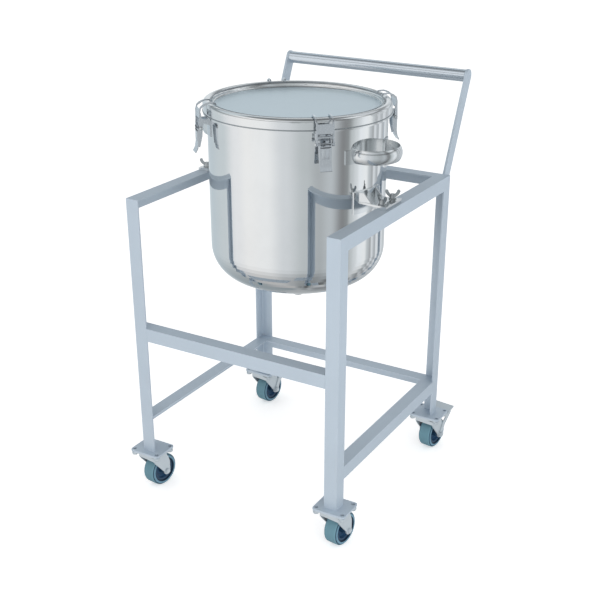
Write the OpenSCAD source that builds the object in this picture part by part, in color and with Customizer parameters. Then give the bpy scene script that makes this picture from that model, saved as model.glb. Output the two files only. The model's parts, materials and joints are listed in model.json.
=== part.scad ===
// Clamp-lid stainless tank hung in a wheeled angle-section stand with a push handle.
// Millimetres, +Z up, floor at 0. +X right, -Y the open front, +Y the push handle.

/* [Stand] */

// Room between the tank's wall and each side rail
side_room = 32; // [24:60]
// Outside depth of the stand, across Y
frame_d = 506; // [440:600]
// Top face of the top rails
rail_top = 690; // [600:800]
// Top face of the lower rails
lower_top = 190; // [170:300]
// Top face of the front cross bar
bar_top = 405; // [320:520]
// Leg length of the angle section
angle_leg = 30; // [25:40]
// Thickness of the angle section
angle_t = 3; // [2.5:0.5:5]
// Root radius of the angle section
angle_root = 2.5; // [1:0.5:3]

/* [Push handle] */

// Height of the push tube's centre over the top rails
push_rise = 196; // [150:260]
// Distance of the push tube's centre behind the rear legs
push_back = 114; // [90:160]
// Outside diameter of the push tube
push_d = 27.2; // [22:0.1:34]
// Wall of the push tube
push_wall = 2; // [1:0.5:3]
// Width of the flat bar uprights
upright_w = 30; // [25:40]
// Thickness of the flat bar uprights
upright_t = 5; // [4:8]
// Distance of an upright's inner face from the stand's side
upright_inset = 22; // [10:50]
// Lean of the uprights from upright
upright_lean = 24.3; // [15:0.1:35]

/* [Casters] */

// Distance of each swivel axis from the stand's side
caster_in_x = 12; // [8:30]
// Distance of each swivel axis from the stand's front or back
caster_in_y = 15; // [8:30]
// Underside of the legs, on their base plates
plate_top = 100; // [95:120]
// Thickness of a base plate under a leg
base_t = 4.5; // [3:0.5:6]
// Length of a base plate, across X
base_x = 76; // [74:90]
// Width of a base plate, across Y
base_y = 64; // [62:80]
// Thickness of a caster's top plate
top_t = 3; // [2.5:0.5:4]
// Hole spacing of a caster's top plate, across X
hole_x = 62; // [58:70]
// Hole spacing of a caster's top plate, across Y
hole_y = 48; // [44:56]
// Radius of the plate holes
hole_r = 4.2; // [3.2:0.1:5.2]
// Wheel diameter
wheel_d = 75; // [65:80]
// Tread width of a wheel
wheel_w = 32; // [24:34]
// Distance of the axle behind the swivel axis
trail = 19; // [15:30]
// Radius of the axle and of the kingpin's clearance shaft
axle_r = 4; // [3:0.5:5]
// Radius of the kingpin
king_r = 6; // [5:0.5:8]
// Radial running clearance on the axle and the kingpin
run_fit = 0.06; // [0.02:0.01:0.1]
// Thickness of the fork's sheet
fork_t = 3; // [2:0.5:4]
// Gap between tyre and fork on each side
fork_gap = 5.5; // [5:0.5:8]

/* [Tank] */

// Outside diameter of the tank wall
tank_d = 376; // [340:400]
// Distance of the tank's axis behind the stand's middle
tank_y = 14; // [0:30]
// Thickness of the tank wall and lid sheet
sheet_t = 2; // [1.5:0.5:3]
// Height of the tank from the bottom's knuckle to the lid's top
tank_high = 309; // [260:340]
// Outside radius of the bottom's knuckle
knuckle_r = 75; // [50:100]
// Fall of the bottom towards the drain, in degrees
bottom_fall = 8; // [4:14]
// Top of the lid's rolled ring over the top rails
lid_rise = 184; // [150:220]
// Radius of the ring's rolled crown
crown_r = 9; // [7:12]
// Depth of the lid's skirt below the centre of the crown
skirt = 18; // [12:24]
// Depth of the sunken lid disc below the crown's top
disc_sink = 12; // [8:20]
// Length of the drain neck with its blind cap
neck_len = 34; // [24:60]
// Outside radius of the drain neck
neck_r = 10.9; // [8:0.1:13]
// Radius of the drain ferrule
ferrule_r = 17; // [14:26]

/* [Tank handles and brackets] */

// Distance of the strap's underside below the lid's top
handle_drop = 97; // [80:140]
// Height of the strap
handle_h = 28; // [22:34]
// Reach of a tank handle out from the tank's wall
handle_out = 59; // [45:80]
// Turn of the handles about the tank's axis
handle_turn = -6; // [-15:15]
// Half width of a tank handle
handle_half = 60; // [45:70]
// Thickness of the strap
handle_t = 6; // [4:8]
// Half width of a hanging bracket at its outer edge
bracket_half = 36; // [32:50]
// How much narrower each side of a bracket's shelf is at the wall
bracket_taper = 10; // [0:16]
// Place of the right bracket along its rail, from the stand's middle
bracket_y_r = -22; // [-40:40]
// Place of the left bracket along its rail, from the stand's middle
bracket_y_l = 30; // [-40:40]
// Thickness of the seat pad between bracket and rail
pad_t = 4; // [3:12]
// Thickness of the bracket's shelf
shelf_t = 4; // [3:6]
// Distance of the two wing bolts from the bracket's middle
wing_y = 24; // [18:30]
// Radius of the wing bolts' stems
stem_r = 4; // [3:0.5:5]

/* [Latches] */

// Distance of the lever's pivot out from the tank's wall
lever_out = 18; // [12:24]
// Distance of the lever's pivot below the centre of the lid's crown
lever_drop = 25; // [21:31]
// Distance of the claw's pivot out from the lever's pivot
claw_out = 3; // [1:6]
// Distance of the claw's pivot below the lever's pivot
claw_drop = 12; // [8:16]
// Radius of the latch pins
pin_r = 2.5; // [2:0.25:3.5]
// Radial clearance on the latch pins
pin_fit = 0.08; // [0.04:0.01:0.1]
// Gap between the claw's prongs and the crown
claw_gap = 2.5; // [2:0.5:5]
// Distance between the outsides of the two prongs
claw_w = 36; // [34:42]

/* [Hidden] */

tank_r = tank_d / 2;
// Outside width of the stand, across X
frame_w = tank_d + 2 * (side_room + angle_leg);
hw = frame_w / 2;
hd = frame_d / 2;
in_x = hw - angle_leg;
in_y = hd - angle_leg;
upright_gap = frame_w - 2 * upright_inset;
push_y = hd + push_back;
push_z = rail_top + push_rise;
caster_x = hw - caster_in_x;
caster_y = hd - caster_in_y;
lid_top = rail_top + lid_rise;
knuckle_top = lid_top - tank_high;
drain_low = bottom_z(neck_r) - neck_len;
lip = drain_low + 5.5;
handle_low = lid_top - handle_drop;
handle_reach = tank_r + handle_out;
base_low = plate_top - base_t;
top_low = base_low - top_t;
wheel_r = wheel_d / 2;
crown_top = wheel_d + 11;
crown_low = crown_top - fork_t;
fork_in = wheel_w / 2 + fork_gap;
fork_out = fork_in + fork_t;
ring_r = tank_r - 1;
ring_z = lid_top - crown_r;
ring_out = ring_r + crown_r;
ring_in = ring_r - crown_r;
disc_z = lid_top - disc_sink;
rim_z = ring_z - 14;
shelf_low = rail_top + pad_t;
caster_sx = [-1, 1, -1, 1];
caster_sy = [-1, -1, 1, 1];
caster_yaw = [-8, -7, -7, -7];
latch_deg = [-45, -132, 45, 135];
lever_r = tank_r + lever_out;
lever_z = ring_z - lever_drop;
claw_r = lever_r + claw_out;
claw_z = lever_z - claw_drop;
lever_half = claw_w / 2 - 6;
ear_y = claw_w / 2 - 4.7;
bolt_x = (in_x + hw) / 2 - 5;
claw_top = lid_top + claw_gap;
// Puts the middle of the overall depth, base plates to handle tops, over the origin
mid_y = (push_y + upright_w / 2 - caster_y - base_y / 2) / 2;

// Sub-part to draw
$fn = 64;

// Equal angle with its corner at the origin, flanges along +X and +Y
module angle_2d(a = angle_leg) {
    difference() {
        square([a, a]);
        translate([angle_t + angle_root, angle_t]) square([a, a]);
        translate([angle_t, angle_t + angle_root]) square([a, a]);
        translate([angle_t + angle_root, angle_t + angle_root]) circle(angle_root, $fn = 24);
    }
}

// Extrudes along +Y: the section's X stays X and its Y becomes Z
module along_y(len) {
    translate([0, len / 2, 0]) rotate([90, 0, 0]) linear_extrude(len) children();
}

// Extrudes along +X: the section's X becomes Y and its Y becomes Z
module along_x(len) {
    translate([-len / 2, 0, 0]) rotate([90, 0, 90]) linear_extrude(len) children();
}

module plate_round(x, y, t, r) {
    linear_extrude(t) {
        square([x - 2 * r, y], center = true);
        square([x, y - 2 * r], center = true);
        for (i = [-1, 1], j = [-1, 1])
            translate([i * (x / 2 - r), j * (y / 2 - r)]) circle(r, $fn = 32);
    }
}

module both_x() {
    children();
    mirror([1, 0, 0]) children();
}

module centred() {
    translate([0, -mid_y, 0]) children();
}

// Places what stands round the tank's own axis
module at_tank() {
    centred() translate([0, tank_y, 0]) children();
}

module legs() {
    color("silver") both_x() {
        translate([-hw, -hd, plate_top]) linear_extrude(rail_top - angle_t - plate_top) angle_2d();
        translate([-hw, hd, plate_top]) linear_extrude(rail_top - angle_t - plate_top)
            mirror([0, 1, 0]) angle_2d();
    }
}

module side_rails() {
    color("silver") both_x() {
        translate([-hw, 0, rail_top]) along_y(2 * in_y) mirror([0, 1, 0]) angle_2d();
        translate([-hw, -hd, rail_top - angle_t]) cube([angle_leg, frame_d, angle_t]);
    }
}

module rear_rail() {
    color("silver") translate([0, hd, rail_top]) along_x(2 * in_x) rotate([0, 0, 180]) angle_2d();
}

// Cross bar between the front legs: its shelf runs on behind the legs' flanges
module front_bar() {
    color("silver") difference() {
        union() {
            translate([0, -hd, bar_top]) along_x(2 * in_x) mirror([0, 1, 0]) angle_2d();
            translate([-hw + angle_t, -hd + angle_t, bar_top - angle_t])
                cube([frame_w - 2 * angle_t, angle_leg - angle_t, angle_t]);
        }
        for (i = [-1, 1]) translate([i * (hw - angle_t), -hd + angle_t, bar_top - 10]) cylinder(20, r = 4);
    }
}

module lower_side_rails() {
    color("silver") both_x() difference() {
        union() {
            translate([-hw, 0, lower_top]) along_y(2 * in_y) mirror([0, 1, 0]) angle_2d();
            translate([-hw + angle_t, -hd + angle_t, lower_top - angle_t])
                cube([angle_leg - angle_t, frame_d - 2 * angle_t, angle_t]);
        }
        for (j = [-1, 1]) translate([-hw + angle_t, j * (hd - angle_t), lower_top - 10]) cylinder(20, r = 4);
    }
}

module lower_rear_rail() {
    color("silver") translate([0, hd, lower_top]) along_x(2 * in_x) rotate([0, 0, 180]) angle_2d();
}

// Flat bars welded behind the rear legs, leaning back, with rounded tops
module uprights() {
    s = sin(upright_lean);
    c = cos(upright_lean);
    h = upright_w / 2;
    front = (push_y - h * c - hd) / s;
    back = (push_y + h * c - hd) / s;
    color("silver") both_x() translate([upright_gap / 2 + upright_t / 2, 0, 0]) along_x(upright_t) union() {
        translate([push_y, push_z]) circle(h);
        polygon([[push_y - h * c, push_z + h * s], [push_y - h * c - front * s, push_z + h * s - front * c],
            [push_y + h * c - back * s, push_z - h * s - back * c], [push_y + h * c, push_z - h * s]]);
    }
}

module push_tube() {
    color("silver") translate([0, push_y, push_z]) along_x(upright_gap) difference() {
        circle(d = push_d);
        circle(d = push_d - 2 * push_wall);
    }
}

module plate_holes(t) {
    for (i = [-1, 1], j = [-1, 1])
        translate([i * hole_x / 2, j * hole_y / 2, -1]) cylinder(t + 2, r = hole_r, $fn = 32);
}

module base_plates() {
    color("silver") for (k = [0:3])
        translate([caster_sx[k] * caster_x, caster_sy[k] * caster_y, base_low]) difference() {
            plate_round(base_x, base_y, base_t, 6);
            plate_holes(base_t);
        }
}

// Caster top plates with the upper race and the kingpin
module caster_plates() {
    color("gainsboro") for (k = [0:3])
        translate([caster_sx[k] * caster_x, caster_sy[k] * caster_y, 0]) {
            translate([0, 0, top_low]) difference() {
                plate_round(base_x - 4, base_y - 4, top_t, 8);
                plate_holes(top_t);
            }
            rotate_extrude() polygon([[0, top_low], [23, top_low], [25, top_low - 1.2],
                [24.4, top_low - 2.8], [king_r, top_low - 2.8], [king_r, crown_low - 0.3],
                [king_r + 3, crown_low - 0.3], [king_r + 2, crown_low - 3.8], [0, crown_low - 3.8]]);
        }
}

// Places a caster's moving parts: swivel axis on the origin, wheel behind it
module at_caster(k) {
    translate([caster_sx[k] * caster_x, caster_sy[k] * caster_y, 0]) rotate([0, 0, caster_yaw[k]]) children();
}

module fork_side_2d() {
    polygon([[-20, crown_top], [-20, crown_top - 9], [-15, crown_top - 17], [trail - 9.2, wheel_r + 1],
        [trail - 8, wheel_r - 4], [trail, wheel_r - 9], [trail + 8, wheel_r - 4.5], [trail + 9.5, wheel_r + 2],
        [trail + 9.5, crown_top - 26], [trail + 5, crown_top - 12], [20, crown_top - 6], [20, crown_top]]);
    translate([trail, wheel_r]) circle(9);
}

module fork(nut_gap = 0) {
    nut = fork_out + nut_gap;
    skirt_h = 9;
    color("gainsboro") {
        difference() {
            union() {
                both_x() translate([fork_in + fork_t / 2, 0, 0]) along_x(fork_t) fork_side_2d();
                translate([-fork_out, -20, crown_low]) cube([2 * fork_out, 40, fork_t]);
                translate([-fork_out, -20, crown_top - skirt_h]) cube([2 * fork_out, fork_t, skirt_h]);
                translate([0, 0, crown_top]) rotate_extrude() polygon([[0, 0], [22.5, 0], [22, 1.8],
                    [20, top_low - 3.1 - crown_top], [0, top_low - 3.1 - crown_top]]);
            }
            translate([0, 0, crown_low - 1]) cylinder(20, r = king_r + run_fit);
        }
        translate([0, trail, wheel_r]) rotate([0, 90, 0]) cylinder(2 * nut + 8, r = axle_r, center = true);
        both_x() translate([nut, trail, wheel_r]) rotate([0, 90, 0]) cylinder(3.5, r = 6.5, $fn = 6);
    }
}

module hub() {
    color("midnightblue") translate([0, trail, wheel_r]) rotate([0, 90, 0]) rotate_extrude() {
        polygon([[axle_r + run_fit, -19], [8, -19], [9.5, -17], [10, -6], [15, -4.2], [21.5, -4.8],
            [22.5, -wheel_w / 2 + 3.5], [wheel_r - 10, -wheel_w / 2 + 3], [wheel_r - 10, wheel_w / 2 - 3],
            [22.5, wheel_w / 2 - 3.5], [21.5, 4.8], [15, 4.2], [10, 6], [9.5, 17], [8, 19],
            [axle_r + run_fit, 19]]);
    }
}

module tyre() {
    w = wheel_w / 2;
    color("steelblue") translate([0, trail, wheel_r]) rotate([0, 90, 0]) rotate_extrude() {
        difference() {
            translate([wheel_r - 10, -w + 1]) square([10, 2 * w - 2]);
            for (j = [-1, 1]) translate([wheel_r - 4, j * (w - 5)]) difference() {
                translate([0, j > 0 ? 0 : -6]) square([6, 6]);
                circle(4, $fn = 32);
            }
        }
        translate([wheel_r - 8.5, -w]) square([4.5, 2 * w]);
    }
}

// Brake pedal: two arms hung on the axle outside the fork and a tread pad behind
module pedal() {
    arm_x = fork_out + 0.4;
    color("gainsboro") difference() {
        union() {
            both_x() translate([arm_x + 1, 0, 0]) along_x(2) {
                translate([trail, wheel_r]) circle(8);
                polygon([[trail - 2, wheel_r + 7.5], [trail + 8, wheel_r], [trail + 17, wheel_r + 20],
                    [trail + 44, wheel_r + 44], [trail + 42, wheel_r + 49], [trail + 25, wheel_r + 45],
                    [trail + 8, wheel_r + 30]]);
            }
            along_x(2 * arm_x + 4) polygon([[trail + 26, wheel_r + 44], [trail + 33, wheel_r + 48.5],
                [trail + 57, wheel_r + 54.5], [trail + 58, wheel_r + 51.5], [trail + 35, wheel_r + 45.5],
                [trail + 28, wheel_r + 41]]);
        }
        translate([0, trail, wheel_r]) rotate([0, 90, 0]) cylinder(80, r = axle_r + run_fit, center = true);
    }
}

// Height of the falling bottom at radius r, on its outside (off = 0) or inside (off = sheet_t)
function bottom_z(r, off = 0) = knuckle_top - (knuckle_r - off) * cos(bottom_fall)
    - (tank_r - knuckle_r + (knuckle_r - off) * sin(bottom_fall) - r) * tan(bottom_fall);
// Points of the bottom's outside or inside, wall to drain
function bottom_side(off, r_end) = concat(
    [for (a = [0:(90 - bottom_fall) / 14:90 - bottom_fall + 0.01])
        [tank_r - knuckle_r + (knuckle_r - off) * cos(a), knuckle_top - (knuckle_r - off) * sin(a)]],
    [[r_end, bottom_z(r_end, off)]]);
function rev(v) = [for (i = [len(v) - 1:-1:0]) v[i]];

// Wall with its turned-out rim
module tank_wall() {
    color("silver") rotate_extrude($fn = 128) {
        translate([tank_r - sheet_t, knuckle_top]) square([sheet_t, rim_z + sheet_t - knuckle_top]);
        translate([tank_r - sheet_t, rim_z]) square([ring_out - 3.5 - tank_r + sheet_t, sheet_t]);
        translate([ring_out - 3.5, rim_z + sheet_t / 2]) circle(sheet_t / 2, $fn = 16);
    }
}

// Dished bottom, open over the drain neck's bore
module tank_bottom() {
    bore = neck_r - sheet_t;
    color("silver") rotate_extrude($fn = 128)
        polygon(concat(bottom_side(0, bore), rev(bottom_side(sheet_t, bore))));
}

// Drain neck and its ferrule, welded under the bottom
module drain_neck() {
    bore = neck_r - sheet_t;
    color("silver") rotate_extrude() polygon([[neck_r, bottom_z(neck_r)], [bore, bottom_z(bore)], [bore, lip],
        [ferrule_r, lip], [ferrule_r, lip + 2], [neck_r + 1, lip + 4.5], [neck_r, lip + 8]]);
}

module drain_cap() {
    color("silver") rotate_extrude() polygon([[0, lip], [ferrule_r, lip], [ferrule_r + 0.6, lip - 1],
        [ferrule_r, lip - 2.4], [12, drain_low], [0, drain_low]]);
}

// Sunken disc, upstand, rolled crown and skirt in one sheet
module lid() {
    f = 4;
    color("lightsteelblue") rotate_extrude($fn = 128) {
        translate([0, disc_z - sheet_t]) square([ring_in - f + 1, sheet_t]);
        difference() {
            translate([ring_in - f, disc_z - sheet_t]) square([f + sheet_t, ring_z - disc_z + sheet_t]);
            translate([ring_in - f, disc_z + f]) circle(f, $fn = 32);
            translate([ring_in - f, disc_z + f]) square([f, crown_r]);
        }
        difference() {
            translate([ring_r, ring_z]) circle(crown_r);
            translate([ring_r, ring_z]) circle(crown_r - sheet_t);
            translate([ring_r - crown_r, ring_z - crown_r - 1]) square([2 * crown_r, crown_r + 1]);
        }
        translate([ring_out - sheet_t, ring_z - skirt]) square([sheet_t, skirt]);
    }
}

// Seal between the wall's rim and the crown
module gasket() {
    color("white") rotate_extrude($fn = 128) {
        translate([ring_r - 4.5, rim_z + sheet_t]) square([9, ring_z + 2.4 - rim_z - sheet_t]);
        translate([ring_r, ring_z + 2.4]) circle(4.5, $fn = 32);
    }
}

// Strap handle: a half round of strap with welded feet that hug the wall
module tank_handle(s) {
    cx = handle_reach - handle_half;
    leg = cx - sqrt(tank_r * tank_r - handle_half * handle_half) + sheet_t;
    color("silver") rotate([0, 0, s < 0 ? 180 + handle_turn : handle_turn]) difference() {
        union() {
            translate([cx, 0, handle_low + handle_h / 2]) {
                rotate([0, 0, -90]) rotate_extrude(angle = 180, $fn = 96) strap_2d(handle_half);
                translate([-leg / 2, 0, 0]) along_x(leg) {
                    strap_2d(handle_half);
                    mirror([1, 0]) strap_2d(handle_half);
                }
            }
            for (a = [15.5, -24]) rotate([0, 0, a]) translate([0, 0, handle_low])
                rotate_extrude(angle = 8.5, $fn = 128) translate([tank_r - 2, 0]) square([5, handle_h]);
        }
        translate([0, 0, handle_low - 5]) cylinder(handle_h + 10, r = tank_r, $fn = 128);
    }
}

// Section of the strap: flat inside, bowed outside, on a radius
module strap_2d(r) {
    intersection() {
        translate([r - handle_t, -handle_h / 2]) square([handle_t, handle_h]);
        translate([r - 22, 0]) circle(22);
    }
}

// Right and left place on the side rails, in turn with the given side's own place along the rail
module at_bracket(i) {
    mirror([i, 0, 0]) translate([0, i > 0 ? bracket_y_l : bracket_y_r, 0]) children();
}

// Axis of the tank as a bracket's own middle sees it
function axis_y(i) = tank_y - (i > 0 ? bracket_y_l : bracket_y_r);

// Hanging brackets: curved pad on the wall, shelf out over the rail, two gussets
module brackets() {
    reach = hw - 5;
    root = tank_r - 30;
    color("silver") for (i = [0, 1]) at_bracket(i) difference() {
        union() {
            translate([0, 0, shelf_low]) linear_extrude(shelf_t) polygon([
                [root, -bracket_half + bracket_taper], [reach, -bracket_half],
                [reach, bracket_half], [root, bracket_half - bracket_taper]]);
            intersection() {
                translate([0, axis_y(i), shelf_low - 22]) difference() {
                    cylinder(46, r = tank_r + 3, $fn = 128);
                    translate([0, 0, -1]) cylinder(48, r = tank_r - 1, $fn = 128);
                }
                translate([tank_r / 2, -bracket_half - 4, 0]) cube([tank_r, 2 * bracket_half + 8, lid_top]);
            }
            for (j = [-1, 1]) translate([0, j * (bracket_half - bracket_taper), 0]) along_y(4)
                polygon([[root, shelf_low + shelf_t], [reach - 38, shelf_low + shelf_t],
                    [tank_r + 3, shelf_low + 22], [root, shelf_low + 22]]);
        }
        translate([0, axis_y(i), 0]) cylinder(lid_top, r = tank_r, $fn = 128);
        for (j = [-1, 1]) translate([bolt_x, j * wing_y, shelf_low - 5])
            cylinder(20, r = stem_r + 0.2, $fn = 32);
    }
}

// Seat pads that the shelves stand on, on the side rails
module seat_pads() {
    color("white") for (i = [0, 1]) at_bracket(i) difference() {
        translate([in_x + 2, -bracket_half + 1, rail_top])
            cube([hw - 6 - in_x - 2, 2 * bracket_half - 2, pad_t]);
        for (j = [-1, 1]) translate([bolt_x, j * wing_y, rail_top - 1])
            cylinder(pad_t + 2, r = stem_r + 0.2, $fn = 32);
    }
}

module wing_bolts() {
    z0 = shelf_low + shelf_t;
    k = stem_r / 4;
    color("gainsboro") for (i = [0, 1]) at_bracket(i) for (j = [-1, 1]) translate([bolt_x, j * wing_y, 0]) {
        translate([0, 0, rail_top]) cylinder(z0 - rail_top + 2, r = stem_r, $fn = 32);
        translate([0, 0, z0]) rotate_extrude($fn = 32) scale(k) polygon([[0, 0], [8, 0], [8, 1.5], [6, 2],
            [5, 9], [4, 11], [0, 11]]);
        rotate([0, 0, 30 * j]) translate([0, 0, z0]) rotate([90, 0, 0]) translate([0, 0, -1.5]) linear_extrude(3)
            both_x() scale(k) {
                polygon([[0, 3], [5, 3], [12, 9], [15, 14], [10, 17], [5, 11], [0, 10]]);
                translate([12, 16]) circle(3.5, $fn = 24);
            }
    }
}

module at_latch(k) {
    rotate([0, 0, latch_deg[k]]) children();
}

// Wall plate with two ears that carry the lever's pin
module latch_bases() {
    color("gainsboro") for (k = [0:3]) at_latch(k) difference() {
        union() {
            intersection() {
                translate([0, 0, lever_z - 31]) cylinder(36, r = tank_r + 2.5, $fn = 128);
                translate([tank_r / 2, -ear_y - 1, 0]) cube([tank_r, 2 * ear_y + 2, lid_top]);
            }
            for (j = [-1, 1]) translate([0, j * ear_y, 0]) along_y(2) {
                translate([lever_r, lever_z]) circle(5, $fn = 32);
                polygon([[tank_r - 1, lever_z - 9], [lever_r - 4, lever_z - 3], [lever_r, lever_z - 5],
                    [lever_r, lever_z + 5], [tank_r - 1, lever_z + 5]]);
            }
            translate([lever_r, 0, lever_z]) rotate([90, 0, 0])
                cylinder(2 * ear_y + 2.2, r = pin_r, center = true, $fn = 32);
        }
        cylinder(lid_top, r = tank_r, $fn = 128);
    }
}

// Channel lever on the base's pin, carrying the claw's pin; its tip is flared
module lever() {
    p = [lever_r, lever_z];
    q = [claw_r, claw_z];
    color("gainsboro") difference() {
        union() {
            for (j = [-1, 1]) translate([0, j * (lever_half - 1), 0]) along_y(2) union() {
                translate(p) circle(5, $fn = 32);
                translate(q) circle(5, $fn = 32);
                polygon([p + [-4.5, -1], q + [-5, 0], q + [-3.5, -18], q + [2, -40], q + [5.5, -38],
                    q + [5.8, 0], p + [4.5, 1]]);
            }
            along_y(2 * lever_half) polygon([q + [4, -3], q + [5.8, -3], q + [5.8, -30], q + [8, -42], q + [12.5, -50],
                q + [11, -51.2], q + [6, -43], q + [4, -30]]);
            translate([claw_r, 0, claw_z]) rotate([90, 0, 0])
                cylinder(claw_w + 2, r = pin_r, center = true, $fn = 32);
        }
        translate([lever_r, 0, lever_z]) rotate([90, 0, 0])
            cylinder(60, r = pin_r + pin_fit, center = true, $fn = 32);
    }
}

// Claw: two side arms that curl over the crown, joined by a plate
module claw() {
    q = [claw_r, claw_z];
    t = 3;
    top = claw_top;
    color("gainsboro") difference() {
        union() {
            for (j = [-1, 1]) translate([0, j * (claw_w / 2 - 1.5), 0]) along_y(3) union() {
                translate(q) circle(4.5, $fn = 32);
                polygon([q + [-2, 3], q + [-2.2, 14], [claw_r - 1.5, ring_z - 10], [claw_r, ring_z - 4],
                    [claw_r - 1.5, ring_z + 3], [ring_out + 3.5, top - 3.5], [ring_r + 8, top - 1], [ring_r + 4, top],
                    [ring_r - 5, top - 0.4], [ring_r - 8, top - 2.4], [ring_r - 9.4, top - 4.3],
                    [ring_r - 11.6, top - 2.8], [ring_r - 9.5, top + 0.4], [ring_r - 6, top + 2.5],
                    [ring_r + 4, top + t], [ring_r + 10, top + 1.6], [claw_r - 5.5, top - 1],
                    [claw_r + 0.5, ring_z + 5.5], [claw_r + 3, ring_z - 4], [claw_r + 3, ring_z - 12],
                    q + [3.5, 14], q + [4, 2]]);
            }
            along_y(claw_w) polygon([[claw_r + 0.6, ring_z - 17], [claw_r + 0.3, ring_z - 4],
                [claw_r - 0.8, ring_z + 1], [claw_r + 1, ring_z + 1.6], [claw_r + 2.2, ring_z - 4],
                [claw_r + 2.5, ring_z - 17]]);
        }
        translate([claw_r, 0, claw_z]) rotate([90, 0, 0])
            cylinder(80, r = pin_r + pin_fit, center = true, $fn = 32);
    }
}

centred() legs();
centred() side_rails();
centred() rear_rail();
centred() front_bar();
centred() lower_side_rails();
centred() lower_rear_rail();
centred() uprights();
centred() push_tube();
centred() base_plates();
centred() caster_plates();
centred() at_caster(0) fork();  // fork_fl
centred() at_caster(1) fork();  // fork_fr
centred() at_caster(2) fork(2.8);  // fork_rl
centred() at_caster(3) fork(2.8);  // fork_rr
centred() at_caster(0) hub();  // hub_fl
centred() at_caster(1) hub();  // hub_fr
centred() at_caster(2) hub();  // hub_rl
centred() at_caster(3) hub();  // hub_rr
centred() at_caster(0) tyre();  // tyre_fl
centred() at_caster(1) tyre();  // tyre_fr
centred() at_caster(2) tyre();  // tyre_rl
centred() at_caster(3) tyre();  // tyre_rr
centred() at_caster(2) pedal();  // pedal_rl
centred() at_caster(3) pedal();  // pedal_rr
at_tank() tank_wall();
at_tank() tank_bottom();
at_tank() drain_neck();
at_tank() drain_cap();
at_tank() lid();
at_tank() gasket();
at_tank() tank_handle(-1);  // tank_handle_l
at_tank() tank_handle(1);  // tank_handle_r
centred() brackets();
centred() seat_pads();
centred() wing_bolts();
at_tank() latch_bases();
at_tank() at_latch(0) lever();  // lever_fr
at_tank() at_latch(1) lever();  // lever_fl
at_tank() at_latch(2) lever();  // lever_rr
at_tank() at_latch(3) lever();  // lever_rl
at_tank() at_latch(0) claw();  // claw_fr
at_tank() at_latch(1) claw();  // claw_fl
at_tank() at_latch(2) claw();  // claw_rr
at_tank() at_latch(3) claw();  // claw_rl
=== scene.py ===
import json
import math

import bmesh
import bpy
from bpy.props import FloatProperty, FloatVectorProperty, PointerProperty
from mathutils import Matrix, Vector


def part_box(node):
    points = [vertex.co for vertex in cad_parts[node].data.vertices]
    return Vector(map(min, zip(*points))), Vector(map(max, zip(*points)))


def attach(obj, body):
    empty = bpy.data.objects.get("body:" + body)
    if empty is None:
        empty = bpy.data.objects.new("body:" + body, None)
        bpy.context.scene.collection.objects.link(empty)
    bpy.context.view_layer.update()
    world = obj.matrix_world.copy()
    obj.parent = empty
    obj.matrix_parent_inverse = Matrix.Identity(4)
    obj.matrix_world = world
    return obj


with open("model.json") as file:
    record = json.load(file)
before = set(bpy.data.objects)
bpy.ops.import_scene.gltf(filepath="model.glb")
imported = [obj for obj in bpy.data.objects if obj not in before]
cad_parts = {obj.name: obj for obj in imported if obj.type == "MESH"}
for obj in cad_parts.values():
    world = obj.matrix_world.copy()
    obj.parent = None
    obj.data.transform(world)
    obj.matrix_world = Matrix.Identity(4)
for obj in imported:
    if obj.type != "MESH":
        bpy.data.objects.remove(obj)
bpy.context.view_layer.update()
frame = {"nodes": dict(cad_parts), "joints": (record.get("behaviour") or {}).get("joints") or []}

bl_info = {
    "name": "Clamp-lid tank on a wheeled stand",
    "version": (1, 0, 0),
    "blender": (4, 5, 0),
    "location": "View3D > Sidebar > Tank Stand",
    "description": "Dresses the tank, its stand, latches and casters, and sets up the studio",
    "category": "Object",
}

CORNERS = ("fl", "fr", "rl", "rr")

# Sizes of the frame's solids that their boxes don't give, in metres unless said
LEG_FLANGE = 0.030          # width of the stand's angle
RAIL_SHEET = 0.004          # weld ends stay this far under the rails' tops
EDGE_IN = 0.001             # weld beads start this far in from a corner
HANDLE_MID = 0.205          # the strap handle's middle, out from the tank's axis
HANDLE_FOOT = 24.0          # degrees from the handle's middle to the end of its foot
BRACKET_HALF = 0.040        # half the width of a bracket's pad on the wall
STRAP_BEAD = 0.0012         # radius of the beads along handles and brackets
BEAD_OUT = 0.0006           # middle of a handle's bead, out from the wall
SKIRT_LOW = 0.022           # end of the lid's skirt, below its top
CROWN_WIDTH = 0.018         # outside of the lid's ring to its inner upstand
DISC_EDGE = 0.021           # outside of the lid's ring to the satin disc
CLAW_PIN_HALF = 0.0190      # half the length of the claw's pin
LEVER_FACE = 0.0059         # the lever's front, out from the claw's pin
PIN_DOME = [(0.0002, 0.0), (0.0036, 0.0), (0.0034, 0.0008), (0.0022, 0.0016), (0.0002, 0.0019)]
PANEL_SIZE = (0.0150, 0.0210)  # raised panel on a lever, across and down
PANEL_DROP = 0.0175         # its middle below the claw's pin
PANEL_RISE = 0.0009         # its height over the lever's front
PANEL_EDGE = 0.0006         # its rounded edge
SLOT_HALF = 0.0105          # half the length of a near-black rod of painted shade in a slot above it
SLOT_DROPS = (-0.0005, 0.0055)  # the two slots below the claw's pin
SLOT_RADIUS = 0.0009
PLATE_SHEET = 0.003         # thickness of the casters' top plates
PLATE_BOLT = (0.031, 0.024)  # plate bolts, across and along from the swivel's axis
BOLT_HEAD = 0.0064          # height of a plate bolt's head
BOLT_SHANK = 0.0038         # radius of its shank
BOLT_SINK = 0.0036          # end of the shank, below the base plate's top

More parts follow.
